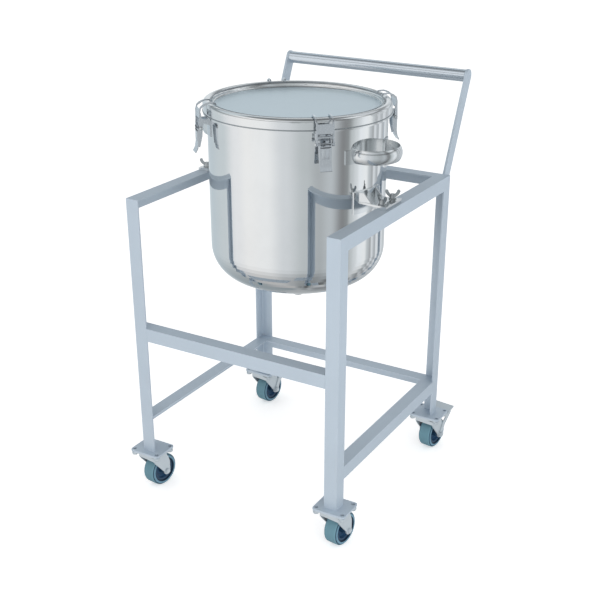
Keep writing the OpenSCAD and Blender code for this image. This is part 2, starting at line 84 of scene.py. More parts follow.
lo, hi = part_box("legs")
LEG_LO, LEG_HI = Vector(lo), Vector(hi)
lo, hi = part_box("tank_wall")
AXIS_X, AXIS_Y = (lo[0] + hi[0]) / 2, (lo[1] + hi[1]) / 2
lo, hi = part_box("lid")
LID_TOP = hi[2]
RING_OUT = (hi[0] - lo[0]) / 2
lo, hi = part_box("tank_bottom")
TANK_R = (hi[0] - lo[0]) / 2
STAND_Y = (LEG_LO.y + LEG_HI.y) / 2
RAIL_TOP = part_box("side_rails")[1][2]
JOINTS = {j["name"]: j for j in frame["joints"]}

# Wheel bands as (from radius, to radius, colour), the later over the earlier
NAVY = (0.010, 0.030, 0.060)
PALE_BLUE = (0.14, 0.27, 0.36)
RING_BLUE = (0.030, 0.085, 0.170)
# On the tyre, the thin navy band from 34 to 35.8 mm is painted shade along a 1 mm step
TYRE_BANDS = [(0.0, 0.0345, PALE_BLUE), (0.0340, 0.0358, NAVY), (0.0, 0.0295, NAVY)]
HUB_BANDS = [(0.0255, 0.0275, NAVY), (0.0195, 0.0225, RING_BLUE), (0.0110, 0.0135, RING_BLUE)]
BAND_SOFT = 0.0005          # half the width over which one band turns into the next

# Camera that matches the photograph, its lens and shift in pixels of a picture of this width
PICTURE_WIDTH = 598.0
SENSOR_WIDTH = 36.0
LENS_PIXELS = 1048.0
SHIFT_PIXELS = (-26.9, 52.5)
CAMERA_YAW, CAMERA_PITCH, CAMERA_ROLL = (math.radians(a) for a in (29.02, 25.22, 0.64))
CAMERA_PLACE = Vector((1.1117, STAND_Y - 1.8586, RAIL_TOP + 0.6320))

# Lamps and floor, in metres
LAMP_SIDE = 2.2
FRONT_LAMP = (0.2, -2.7, 0.45)
RIGHT_LAMP = (2.5, -1.7, 0.6)
LAMP_AIM = Vector((0, 0, 0.5))
FLOOR_HALF = 30.0

# Directions round the studio as a share of a turn from +X, with the wall's colour there
STUDIO_WALLS = [
    (0.00, (0.27, 0.28, 0.29)),
    (0.015, (0.30, 0.32, 0.33)),
    (0.035, (0.60, 0.64, 0.66)),
    (0.055, (0.74, 0.78, 0.81)),
    (0.075, (0.92, 0.96, 1.00)),
    (0.105, (0.95, 0.98, 1.00)),
    (0.125, (0.58, 0.62, 0.65)),
    (0.14, (0.44, 0.46, 0.48)),
    (0.15, (0.80, 0.84, 0.88)),
    (0.17, (0.44, 0.47, 0.50)),
    (0.19, (0.82, 0.86, 0.90)),
    (0.21, (0.48, 0.51, 0.54)),
    (0.235, (0.80, 0.84, 0.88)),
    (0.26, (0.58, 0.62, 0.65)),
    (0.33, (0.80, 0.84, 0.87)),
    (0.42, (0.58, 0.66, 0.71)),
    (0.53, (0.66, 0.72, 0.75)),
    (0.60, (0.92, 0.93, 0.95)),
    (0.65, (1.00, 1.00, 1.00)),
    (0.72, (0.98, 0.99, 1.00)),
    (0.79, (0.76, 0.79, 0.82)),
    (0.86, (0.58, 0.62, 0.64)),
    (0.91, (0.48, 0.51, 0.53)),
    (0.95, (0.56, 0.60, 0.63)),
    (1.00, (0.27, 0.28, 0.29)),
]
# Level of the walls by height, from straight down (0) to straight up (1)
STUDIO_HEIGHTS = [
    (0.00, 0.50),
    (0.03, 0.55),
    (0.37, 1.00),
    (0.65, 1.00),
    (0.70, 0.55),
    (0.75, 0.45),
    (0.79, 1.00),
    (0.87, 1.05),
    (0.94, 0.35),
    (1.00, 0.30),
]


class StandSettings(bpy.types.PropertyGroup):
    steel_color: FloatVectorProperty(
        name="Steel colour", description="Blasted stainless steel of the stand", subtype="COLOR",
        size=3, min=0.0, max=1.0, default=(0.53, 0.61, 0.69))
    roughness: FloatProperty(
        name="Roughness", description="Roughness of the blasted steel", subtype="FACTOR",
        min=0.1, max=1.0, default=0.5)
    bead: FloatProperty(
        name="Weld bead", description="Radius of the weld beads", unit="LENGTH",
        min=0.0005, max=0.004, default=0.0016)


class TankSettings(bpy.types.PropertyGroup):
    mirror_color: FloatVectorProperty(
        name="Mirror colour", description="Polished stainless steel", subtype="COLOR",
        size=3, min=0.0, max=1.0, default=(0.80, 0.81, 0.81))
    lid_color: FloatVectorProperty(
        name="Lid colour", description="Satin disc of the lid", subtype="COLOR",
        size=3, min=0.0, max=1.0, default=(0.74, 0.84, 0.89))
    mirror_roughness: FloatProperty(
        name="Mirror roughness", description="Roughness of the polished wall", subtype="FACTOR",
        min=0.0, max=0.5, default=0.03)


class CasterSettings(bpy.types.PropertyGroup):
    tyre_color: FloatVectorProperty(
        name="Tyre colour", description="Grey-blue rubber", subtype="COLOR",
        size=3, min=0.0, max=1.0, default=(0.13, 0.26, 0.32))
    hub_color: FloatVectorProperty(
        name="Hub colour", description="Dark blue moulded hub", subtype="COLOR",
        size=3, min=0.0, max=1.0, default=(0.016, 0.052, 0.105))
    zinc_color: FloatVectorProperty(
        name="Fork colour", description="Bright zinc plate", subtype="COLOR",
        size=3, min=0.0, max=1.0, default=(0.60, 0.66, 0.70))
    bolt_across: FloatProperty(
        name="Bolt head", description="Width of the plate bolts' heads over their flats", unit="LENGTH",
        min=0.008, max=0.016, default=0.012)


class StudioSettings(bpy.types.PropertyGroup):
    floor_color: FloatVectorProperty(
        name="Floor colour", description="Pale floor", subtype="COLOR",
        size=3, min=0.0, max=1.0, default=(0.90, 0.90, 0.90))
    world_level: FloatProperty(
        name="World level", description="Level of the even light", min=0.1, max=2.0, default=0.78)
    front_power: FloatProperty(
        name="Front lamp", description="Power of the large soft lamp in front", unit="POWER",
        min=1.0, max=400.0, default=10.0)
    right_power: FloatProperty(
        name="Right lamp", description="Power of the large soft lamp at the front right", unit="POWER",
        min=1.0, max=400.0, default=50.0)
    floor_glow: FloatProperty(
        name="Floor white", description="White added to the floor as the camera sees it",
        min=0.0, max=1.0, default=0.42)


def settings():
    return bpy.context.scene.tank_stand


class TankStandSettings(bpy.types.PropertyGroup):
    stand: PointerProperty(type=StandSettings, name="Stand", description="Stand sizes and colours")
    tank: PointerProperty(type=TankSettings, name="Tank", description="Tank colours")
    caster: PointerProperty(type=CasterSettings, name="Casters", description="Caster sizes and colours")
    studio: PointerProperty(type=StudioSettings, name="Studio", description="Floor and light")


def new_group(name, ins, outs):
    g = bpy.data.node_groups.new(name, "ShaderNodeTree")
    for n, kind, value in ins:
        s = g.interface.new_socket(name=n, in_out="INPUT", socket_type=kind)
        if value is not None:
            s.default_value = value
    for n, kind in outs:
        g.interface.new_socket(name=n, in_out="OUTPUT", socket_type=kind)
    return g, g.nodes.new("NodeGroupInput"), g.nodes.new("NodeGroupOutput")


def math_node(nt, op, a, b=None):
    n = nt.nodes.new("ShaderNodeMath")
    n.operation = op
    for i, v in enumerate((a, b)):
        if v is None:
            continue
        if isinstance(v, (int, float)):
            n.inputs[i].default_value = v
        else:
            nt.links.new(v, n.inputs[i])
    return n.outputs[0]


def remap(nt, value, lo_in, hi_in, lo_out, hi_out):
    n = nt.nodes.new("ShaderNodeMapRange")
    nt.links.new(value, n.inputs["Value"])
    for k, v in (("From Min", lo_in), ("From Max", hi_in), ("To Min", lo_out), ("To Max", hi_out)):
        if isinstance(v, (int, float)):
            n.inputs[k].default_value = v
        else:
            nt.links.new(v, n.inputs[k])
    return n.outputs["Result"]


def noise(nt, vector, scale, detail=3.0, rough=0.5):
    n = nt.nodes.new("ShaderNodeTexNoise")
    n.inputs["Scale"].default_value = scale
    n.inputs["Detail"].default_value = detail
    n.inputs["Roughness"].default_value = rough
    nt.links.new(vector, n.inputs["Vector"])
    return n.outputs["Fac"]


def blasted_group():
    """Fine speckle with broad soft patches, for blasted and plated steel."""
    g, i, o = new_group(
        "blasted steel",
        [("Vector", "NodeSocketVector", None), ("Colour", "NodeSocketColor", (0.5, 0.5, 0.5, 1)),
         ("Roughness", "NodeSocketFloat", 0.5), ("Variation", "NodeSocketFloat", 0.06)],
        [("Colour", "NodeSocketColor"), ("Roughness", "NodeSocketFloat"), ("Height", "NodeSocketFloat")])
    v = i.outputs["Vector"]
    fine = noise(g, v, 900.0, 2.0, 0.6)
    broad = noise(g, v, 9.0, 4.0, 0.55)
    both = math_node(g, "ADD", math_node(g, "MULTIPLY", fine, 0.35), math_node(g, "MULTIPLY", broad, 0.65))
    swing = math_node(g, "MULTIPLY", math_node(g, "SUBTRACT", both, 0.5), i.outputs["Variation"])
    gain = math_node(g, "ADD", math_node(g, "MULTIPLY", swing, 4.0), 1.0)
    tint = g.nodes.new("ShaderNodeVectorMath")
    tint.operation = "SCALE"
    g.links.new(i.outputs["Colour"], tint.inputs[0])
    g.links.new(gain, tint.inputs["Scale"])
    g.links.new(tint.outputs[0], o.inputs["Colour"])
    g.links.new(math_node(g, "ADD", i.outputs["Roughness"], math_node(g, "MULTIPLY", swing, 2.5)),
                o.inputs["Roughness"])
    g.links.new(fine, o.inputs["Height"])
    return g


def polish_group():
    """Faint vertical polishing lines and hand smears, for bright steel."""
    g, i, o = new_group(
        "hand polish",
        [("Vector", "NodeSocketVector", None), ("Stretch", "NodeSocketVector", (1, 1, 0.02)),
         ("Roughness", "NodeSocketFloat", 0.08), ("Smear", "NodeSocketFloat", 0.05)],
        [("Roughness", "NodeSocketFloat"), ("Height", "NodeSocketFloat"), ("Mask", "NodeSocketFloat")])
    st = g.nodes.new("ShaderNodeVectorMath")
    st.operation = "MULTIPLY"
    g.links.new(i.outputs["Vector"], st.inputs[0])
    g.links.new(i.outputs["Stretch"], st.inputs[1])
    lines = noise(g, st.outputs[0], 700.0, 3.0, 0.6)
    smear = noise(g, i.outputs["Vector"], 14.0, 5.0, 0.6)
    soft = remap(g, smear, 0.45, 0.75, 0.0, 1.0)
    worn = math_node(g, "ADD", math_node(g, "MULTIPLY", soft, 0.7), math_node(g, "MULTIPLY", lines, 0.3))
    haze = math_node(g, "MULTIPLY", worn, i.outputs["Smear"])
    g.links.new(math_node(g, "ADD", i.outputs["Roughness"], haze), o.inputs["Roughness"])
    g.links.new(lines, o.inputs["Height"])
    g.links.new(soft, o.inputs["Mask"])
    return g


def ring_group():
    """Distance from the tank's axis and grain that runs round it."""
    g, i, o = new_group(
        "turned grain",
        [("Vector", "NodeSocketVector", None), ("Axis X", "NodeSocketFloat", 0.0),
         ("Axis Y", "NodeSocketFloat", 0.0)],
        [("Radius", "NodeSocketFloat"), ("Grain", "NodeSocketFloat")])
    sep = g.nodes.new("ShaderNodeSeparateXYZ")
    g.links.new(i.outputs["Vector"], sep.inputs[0])
    dx = math_node(g, "SUBTRACT", sep.outputs["X"], i.outputs["Axis X"])
    dy = math_node(g, "SUBTRACT", sep.outputs["Y"], i.outputs["Axis Y"])
    squares = math_node(g, "ADD", math_node(g, "MULTIPLY", dx, dx), math_node(g, "MULTIPLY", dy, dy))
    r = math_node(g, "SQRT", squares)
    a = math_node(g, "ARCTAN2", dy, dx)
    com = g.nodes.new("ShaderNodeCombineXYZ")
    g.links.new(r, com.inputs["X"])
    g.links.new(math_node(g, "MULTIPLY", a, 0.004), com.inputs["Y"])
    g.links.new(sep.outputs["Z"], com.inputs["Z"])
    g.links.new(r, o.inputs["Radius"])
    g.links.new(noise(g, com.outputs[0], 1100.0, 2.0, 0.6), o.inputs["Grain"])
    return g


def wheel_group():
    """Distance from a wheel's axle line."""
    g, i, o = new_group(
        "wheel bands",
        [("Vector", "NodeSocketVector", None), ("Centre", "NodeSocketVector", (0, 0, 0)),
         ("Axis", "NodeSocketVector", (1, 0, 0))],
        [("Radius", "NodeSocketFloat")])

    def vector_node(op, a, b, out=0):
        n = g.nodes.new("ShaderNodeVectorMath")
        n.operation = op
        g.links.new(a, n.inputs[0])
        g.links.new(b, n.inputs["Scale" if op == "SCALE" else 1])
        return n.outputs[out]

    d = vector_node("SUBTRACT", i.outputs["Vector"], i.outputs["Centre"])
    along = vector_node("DOT_PRODUCT", d, i.outputs["Axis"], 1)
    out = vector_node("SUBTRACT", d, vector_node("SCALE", i.outputs["Axis"], along))
    n = g.nodes.new("ShaderNodeVectorMath")
    n.operation = "LENGTH"
    g.links.new(out, n.inputs[0])
    g.links.new(n.outputs["Value"], o.inputs["Radius"])
    return g


GROUPS = {}


def use_group(nt, name, **values):
    makers = {"blasted": blasted_group, "polish": polish_group, "turned": ring_group, "wheel": wheel_group}
    if name not in GROUPS:
        GROUPS[name] = makers[name]()
    n = nt.nodes.new("ShaderNodeGroup")
    n.node_tree = GROUPS[name]
    coord = nt.nodes.new("ShaderNodeTexCoord")
    nt.links.new(coord.outputs["Object"], n.inputs["Vector"])
    for k, v in values.items():
        s = n.inputs[k.replace("_", " ")]
        s.default_value = (*v, 1.0) if s.type == "RGBA" and len(v) == 3 else v
    return n


MATERIALS = {}


def new_material(name):
    m = bpy.data.materials.new(name)
    m.use_nodes = True
    return m, m.node_tree, m.node_tree.nodes["Principled BSDF"]


def bump(nt, shader, height, strength, distance):
    b = nt.nodes.new("ShaderNodeBump")
    b.inputs["Strength"].default_value = strength
    b.inputs["Distance"].default_value = distance
    nt.links.new(height, b.inputs["Height"])
    nt.links.new(b.outputs["Normal"], shader.inputs["Normal"])


def blasted_steel(name, color, rough, variation=0.05, metal=1.0, grit=0.00012):
    if name in MATERIALS:
        return MATERIALS[name]
    m, nt, p = new_material(name)
    p.inputs["Metallic"].default_value = metal
    g = use_group(nt, "blasted", Colour=color, Roughness=rough, Variation=variation)
    nt.links.new(g.outputs["Colour"], p.inputs["Base Color"])
    nt.links.new(g.outputs["Roughness"], p.inputs["Roughness"])
    bump(nt, p, g.outputs["Height"], 0.35, grit)
    MATERIALS[name] = m
    return m


def polished_steel(name, color, rough, smear, stretch=(1.0, 1.0, 0.02), lines=0.00001):
    if name in MATERIALS:
        return MATERIALS[name]
    m, nt, p = new_material(name)
    p.inputs["Metallic"].default_value = 1.0
    g = use_group(nt, "polish", Roughness=rough, Smear=smear, Stretch=stretch)
    mix = nt.nodes.new("ShaderNodeMix")
    mix.data_type = "RGBA"
    mix.inputs["A"].default_value = (*color, 1.0)
    mix.inputs["B"].default_value = (*[c * 0.965 for c in color], 1.0)
    nt.links.new(g.outputs["Mask"], mix.inputs["Factor"])
    nt.links.new(mix.outputs["Result"], p.inputs["Base Color"])
    nt.links.new(g.outputs["Roughness"], p.inputs["Roughness"])
    bump(nt, p, g.outputs["Height"], 0.3, lines)
    MATERIALS[name] = m
    return m


def lid_sheet():
    """Satin disc in the middle, polished ring round it."""
    if "lid sheet" in MATERIALS:
        return MATERIALS["lid sheet"]
    t = settings().tank
    m, nt, p = new_material("lid sheet")
    p.inputs["Metallic"].default_value = 1.0
    ring = use_group(nt, "turned", Axis_X=AXIS_X, Axis_Y=AXIS_Y)
    fine = use_group(nt, "blasted", Colour=tuple(t.lid_color), Roughness=0.42, Variation=0.03)
    edge = remap(nt, ring.outputs["Radius"], RING_OUT - DISC_EDGE - BAND_SOFT,
                 RING_OUT - DISC_EDGE + BAND_SOFT, 0.0, 1.0)
    mix = nt.nodes.new("ShaderNodeMix")
    mix.data_type = "RGBA"
    nt.links.new(edge, mix.inputs["Factor"])
    nt.links.new(fine.outputs["Colour"], mix.inputs["A"])
    mix.inputs["B"].default_value = (*t.mirror_color, 1.0)
    nt.links.new(mix.outputs["Result"], p.inputs["Base Color"])
    grain = math_node(nt, "MULTIPLY", ring.outputs["Grain"], 0.07)
    bright = math_node(nt, "ADD", grain, 0.09)
    mixr = nt.nodes.new("ShaderNodeMix")
    nt.links.new(edge, mixr.inputs["Factor"])
    nt.links.new(fine.outputs["Roughness"], mixr.inputs[2])
    nt.links.new(bright, mixr.inputs[3])
    nt.links.new(mixr.outputs[0], p.inputs["Roughness"])
    bump(nt, p, ring.outputs["Grain"], 0.25, 0.00003)
    MATERIALS["lid sheet"] = m
    return m


def rubber(name, color, rough):
    if name in MATERIALS:
        return MATERIALS[name]
    m, nt, p = new_material(name)
    p.inputs["Specular IOR Level"].default_value = 0.35
    g = use_group(nt, "blasted", Colour=color, Roughness=rough, Variation=0.08)
    nt.links.new(g.outputs["Colour"], p.inputs["Base Color"])
    nt.links.new(g.outputs["Roughness"], p.inputs["Roughness"])
    bump(nt, p, g.outputs["Height"], 0.5, 0.0002)
    MATERIALS[name] = m
    return m


def banded_rubber(name, color, rough, wheel, bands):
    """Moulded wheel part whose colour changes with the distance from the axle; on the tyre one thin band is
    painted shade at a step.
    """
    m, nt, p = new_material(name)
    p.inputs["Specular IOR Level"].default_value = 0.4
    g = use_group(nt, "blasted", Colour=color, Roughness=rough, Variation=0.08)
    w = use_group(nt, "wheel", Centre=JOINTS[wheel]["pos_m"], Axis=JOINTS[wheel]["axis"])
    last = g.outputs["Colour"]
    for start, end, tone in bands:
        up = remap(nt, w.outputs["Radius"], start - BAND_SOFT, start + BAND_SOFT, 0.0, 1.0)
        down = remap(nt, w.outputs["Radius"], end - BAND_SOFT, end + BAND_SOFT, 1.0, 0.0)
        mix = nt.nodes.new("ShaderNodeMix")
        mix.data_type = "RGBA"
        nt.links.new(math_node(nt, "MULTIPLY", up, down), mix.inputs["Factor"])
        nt.links.new(last, mix.inputs["A"])
        mix.inputs["B"].default_value = (*tone, 1.0)
        last = mix.outputs["Result"]
    nt.links.new(last, p.inputs["Base Color"])
    nt.links.new(g.outputs["Roughness"], p.inputs["Roughness"])
    bump(nt, p, g.outputs["Height"], 0.5, 0.0002)
    return m


def stand_steel():
    s = settings().stand
    return blasted_steel("stand steel", tuple(s.steel_color), s.roughness, metal=0.5)


def tube_steel():
    c = settings().stand.steel_color
    return blasted_steel("tube steel", tuple(0.25 + 0.75 * v for v in c), 0.20, 0.05, metal=0.9, grit=0.00004)


def mirror_steel():
    t = settings().tank
    return polished_steel("mirror steel", tuple(t.mirror_color), t.mirror_roughness, 0.04)


def bright_steel():
    return polished_steel("bright steel", (0.74, 0.76, 0.77), 0.12, 0.10,
                          stretch=(0.05, 0.05, 1.0), lines=0.00002)


def latch_steel():
    return blasted_steel("latch steel", (0.68, 0.71, 0.74), 0.15, 0.05, metal=0.95, grit=0.00002)


# Near-black steel for painted shade in the latches' slots
def slot_shade():
    return blasted_steel("slot shade", (0.035, 0.042, 0.048), 0.5, 0.05, metal=0.2, grit=0.00003)


def wing_steel():
    return polished_steel("wing bolt steel", (0.40, 0.42, 0.43), 0.10, 0.10)


# Dark steel for painted shade: the dark line under the lid's skirt and the dark line at the ring's inner
# upstand
def painted_shade_line():
    return blasted_steel("painted shade line", (0.38, 0.41, 0.43), 0.35, 0.05, metal=0.9, grit=0.00003)


def zinc():
    c = settings().caster
    return blasted_steel("zinc plate", tuple(c.zinc_color), 0.36, 0.07, metal=0.6, grit=0.00006)


def dress(material, *nodes):
    for n in nodes:
        o = frame["nodes"][n]
        for s in o.material_slots:
            s.material = material


def finish_piece(bm, name, body, material, smooth=None):
    bmesh.ops.remove_doubles(bm, verts=bm.verts[:], dist=1e-6)
    bmesh.ops.recalc_face_normals(bm, faces=bm.faces[:])
    me = bpy.data.meshes.new(name)
    bm.to_mesh(me)
    bm.free()
    me.materials.append(material)
    if smooth is not None:
        for f in me.polygons:
            f.use_smooth = True
        me.set_sharp_from_angle(angle=math.radians(smooth))
    o = bpy.data.objects.new(name, me)
    bpy.context.scene.collection.objects.link(o)
    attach(o, body)
    return o


def point_to(axis):
    """Turn that takes +Z to the axis."""
    return Vector((0, 0, 1)).rotation_difference(Vector(axis).normalized()).to_matrix().to_4x4()


def add_rod(bm, a, b, r, segments):
    a, b = Vector(a), Vector(b)
    place = Matrix.Translation((a + b) / 2) @ point_to(b - a)
    bmesh.ops.create_cone(bm, cap_ends=True, segments=segments, radius1=r, radius2=r,
                          depth=(b - a).length, matrix=place)


def add_bead(bm, a, b, r):
    """Weld bead from a to b: a thin rod with drawn-in ends and swollen ripples."""
    a, b = Vector(a), Vector(b)
    n = max(4, int((b - a).length / 0.004))
    place = Matrix.Translation(a) @ point_to(b - a)
    ring = bmesh.ops.create_circle(bm, cap_ends=True, segments=8, radius=r * 0.45, matrix=place)["verts"]
    face = next(f for f in ring[0].link_faces)
    step = (b - a) / n
    for k in range(n):
        out = bmesh.ops.extrude_face_region(bm, geom=[face])["geom"]
        verts = [v for v in out if isinstance(v, bmesh.types.BMVert)]
        bmesh.ops.translate(bm, verts=verts, vec=step)
        mid = a + step * (k + 1)
        want = r * 0.45 if k == n - 1 else r * (1.0 if k % 2 else 0.86)
        now = (verts[0].co - mid).length
        bmesh.ops.scale(bm, verts=verts, vec=(want / now,) * 3, space=Matrix.Translation(-mid))
        bmesh.ops.delete(bm, geom=[face], context="FACES_ONLY")
        face = next(f for f in out if isinstance(f, bmesh.types.BMFace))


def add_hex(bm, centre, across, height):
    """Upright hexagonal head with chamfered edges."""
    place = Matrix.Translation(Vector(centre))
    r = across / math.sqrt(3)
    made = bmesh.ops.create_cone(bm, cap_ends=True, segments=6, radius1=r, radius2=r, depth=height,
                                 matrix=place)["verts"]
    edges = {e for v in made for e in v.link_edges if all(w in made for w in e.verts)}
    flat = [e for e in edges if abs((e.verts[0].co - e.verts[1].co).normalized().z) < 0.1]
    bmesh.ops.bevel(bm, geom=flat, offset=height * 0.12, offset_type="OFFSET", segments=2, profile=0.5,
                    affect="EDGES", material=-1)


def add_turned(bm, profile, centre, axis=(0, 0, 1), steps=48):
    """Closed turned ring from a radius and height outline."""
    place = Matrix.Translation(Vector(centre)) @ point_to(axis)
    verts = [bm.verts.new(place @ Vector((r, 0, z))) for r, z in profile]
    edges = [bm.edges.new((verts[k], verts[(k + 1) % len(verts)])) for k in range(len(verts))]
    bmesh.ops.spin(bm, geom=verts + edges, cent=place.translation, axis=place.to_3x3() @ Vector((0, 0, 1)),
                   angle=math.tau, steps=steps, use_merge=True)


def at_angle(r, bearing, z):
    a = math.radians(bearing)
    return Vector((AXIS_X + r * math.cos(a), AXIS_Y + r * math.sin(a), z))


class TANKSTAND_OT_stand(bpy.types.Operator):
    """Gives the stand its blasted steel and its weld beads"""
    bl_idname = "tank_stand.stand"
    bl_label = "Stand finish and welds"

    def execute(self, context):
        s = settings().stand
        steel = stand_steel()
        dress(steel, "legs", "side_rails", "rear_rail", "front_bar", "lower_side_rails", "lower_rear_rail",
              "uprights", "base_plates")
        dress(tube_steel(), "push_tube")
        b = s.bead
        bm = bmesh.new()
        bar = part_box("front_bar")
        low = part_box("lower_side_rails")
        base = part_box("base_plates")[1][2]
        for x, sx in ((LEG_LO.x, -1), (LEG_HI.x, 1)):
            inner, face = x - sx * LEG_FLANGE, x - sx * EDGE_IN
            front = LEG_LO.y + EDGE_IN
            add_bead(bm, (inner, front, bar[0][2]), (inner, front, bar[1][2] - EDGE_IN), b)
            for y, sy in ((LEG_LO.y, -1), (LEG_HI.y, 1)):
                edge, corner = y - sy * LEG_FLANGE, y - sy * EDGE_IN / 2
                add_bead(bm, (face, edge, RAIL_TOP - LEG_FLANGE), (face, edge, RAIL_TOP - RAIL_SHEET),
                         b * 0.8)
                add_bead(bm, (face, edge, low[0][2]), (face, edge, low[1][2] - EDGE_IN), b)
                add_bead(bm, (face, corner, base), (face, edge, base), b)
                add_bead(bm, (face, corner, base), (inner, corner, base), b)
        finish_piece(bm, "stand_weld_beads", "stand", steel, 50)
        bm = bmesh.new()
        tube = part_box("push_tube")
        r = (tube[1][2] - tube[0][2]) / 2
        cy, cz = (tube[0][1] + tube[1][1]) / 2, (tube[0][2] + tube[1][2]) / 2
        fillet = [(r - 0.0004, 0.0), (r + 0.0014, 0.0), (r + 0.0010, 0.0011), (r - 0.0004, 0.0016)]
        for x, sx in ((tube[0][0], 1), (tube[1][0], -1)):
            add_turned(bm, fillet, (x, cy, cz), (sx, 0, 0), 64)
        finish_piece(bm, "push_tube_welds", "stand", steel, 60)
        return {"FINISHED"}


class TANKSTAND_OT_tank(bpy.types.Operator):
    """Gives the tank, lid, handles, brackets and wing bolts their finishes, painted shade lines and welds"""
    bl_idname = "tank_stand.tank"
    bl_label = "Tank, lid and handles"

    def execute(self, context):
        dress(mirror_steel(), "tank_wall", "tank_bottom", "drain_neck", "drain_cap")
        dress(lid_sheet(), "lid")
        dress(rubber("gasket rubber", (0.85, 0.85, 0.83), 0.55), "gasket")
        dress(bright_steel(), "tank_handle_l", "tank_handle_r", "brackets", "seat_pads")
        dress(wing_steel(), "wing_bolts")
        bright = bright_steel()
        # The lid's hem bead is dark steel: a painted shade line under the ring's skirt, where the wall below
        # lies in shade
        bm = bmesh.new()
        low = LID_TOP - SKIRT_LOW
        add_turned(bm, [(RING_OUT - 0.0012, low + 0.0008), (RING_OUT + 0.0006, low + 0.0008),
                        (RING_OUT + 0.0012, low - 0.0002), (RING_OUT + 0.0006, low - 0.0014),
                        (RING_OUT - 0.0012, low - 0.0016)], (AXIS_X, AXIS_Y, 0), steps=160)
        finish_piece(bm, "lid_hem", "stand", painted_shade_line(), 60)
        # Thin dark ring at the crown's inner upstand: a painted shade line
        bm = bmesh.new()
        inner = RING_OUT - CROWN_WIDTH
        add_turned(bm, [(inner + 0.0016, LID_TOP - 0.0014), (inner + 0.0004, LID_TOP - 0.0030),
                        (inner - 0.0004, LID_TOP - 0.0028), (inner + 0.0004, LID_TOP - 0.0008)],
                   (AXIS_X, AXIS_Y, 0), steps=160)
        finish_piece(bm, "ring_inner_shade_line", "stand", painted_shade_line(), 60)
        bm = bmesh.new()
        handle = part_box("tank_handle_r")
        turn = math.degrees(math.asin(((handle[0][1] + handle[1][1]) / 2 - AXIS_Y) / HANDLE_MID))
        for side in (0, 180):
            for foot in (HANDLE_FOOT, -HANDLE_FOOT):
                bearing = side + turn + foot
                add_bead(bm, at_angle(TANK_R + BEAD_OUT, bearing, handle[0][2] + EDGE_IN),
                         at_angle(TANK_R + BEAD_OUT, bearing, handle[1][2] - EDGE_IN), STRAP_BEAD)
        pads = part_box("brackets")
        for sx, mid in ((1, pads[0][1] + BRACKET_HALF), (-1, pads[1][1] - BRACKET_HALF)):
            for y in (mid - BRACKET_HALF, mid + BRACKET_HALF):
                x = AXIS_X + sx * math.sqrt(TANK_R ** 2 - (y - AXIS_Y) ** 2)
                add_bead(bm, (x, y, pads[0][2] + EDGE_IN), (x, y, pads[1][2] - EDGE_IN), STRAP_BEAD)
        finish_piece(bm, "handle_welds", "stand", bright, 50)
        return {"FINISHED"}


class TANKSTAND_OT_latches(bpy.types.Operator):
    """Gives the four draw latches their steel, pin heads, raised panels and near-black rods of painted shade
    in their slots
    """
    bl_idname = "tank_stand.latches"
    bl_label = "Latches"

    def execute(self, context):
        steel = latch_steel()
        dress(steel, "latch_bases")
        for c in CORNERS:
            dress(steel, "lever_" + c, "claw_" + c)
            self.pins(c)
        return {"FINISHED"}

    def pins(self, c):
        """Domed pin heads, the lever's raised panel and near-black rods of painted shade in its slots, all on
        the lever.
        """
        pin = Vector(JOINTS["claw_" + c]["pos_m"])
        side = Vector(JOINTS["claw_" + c]["axis"]).normalized()
        out = (Vector((pin.x - AXIS_X, pin.y - AXIS_Y, 0))).normalized()
        down = Vector((0, 0, -1))
        bm = bmesh.new()
        for j in (-1, 1):
            end = pin + side * (j * CLAW_PIN_HALF)
            add_turned(bm, PIN_DOME, end, side * j, 20)
        finish_piece(bm, "latch_pins_" + c, "lever_" + c, bright_steel(), 60)
        bm = bmesh.new()
        face = pin + out * LEVER_FACE
        made = bmesh.ops.create_grid(bm, x_segments=1, y_segments=1, size=0.5)["verts"]
        turn = Matrix((side, down, out)).transposed().to_4x4()
        bmesh.ops.scale(bm, verts=made, vec=(*PANEL_SIZE, 1.0))
        bmesh.ops.transform(bm, matrix=Matrix.Translation(face + down * PANEL_DROP) @ turn, verts=made)
        geo = bmesh.ops.extrude_face_region(bm, geom=bm.faces[:])["geom"]
        top = [v for v in geo if isinstance(v, bmesh.types.BMVert)]
        bmesh.ops.translate(bm, verts=top, vec=out * PANEL_RISE)
        rim = [e for e in bm.edges if all(v in top for v in e.verts)]
        bmesh.ops.bevel(bm, geom=rim, offset=PANEL_EDGE, offset_type="OFFSET", segments=2, profile=0.5,
                        affect="EDGES", material=-1)
        finish_piece(bm, "latch_panel_" + c, "lever_" + c, latch_steel(), 50)
        # Near-black rods in the slots above the panel: painted shade
        bm = bmesh.new()
        for drop in SLOT_DROPS:
            mid = face + down * drop
            add_rod(bm, mid - side * SLOT_HALF, mid + side * SLOT_HALF, SLOT_RADIUS, 8)
        finish_piece(bm, "latch_slot_shade_" + c, "lever_" + c, slot_shade(), 50)


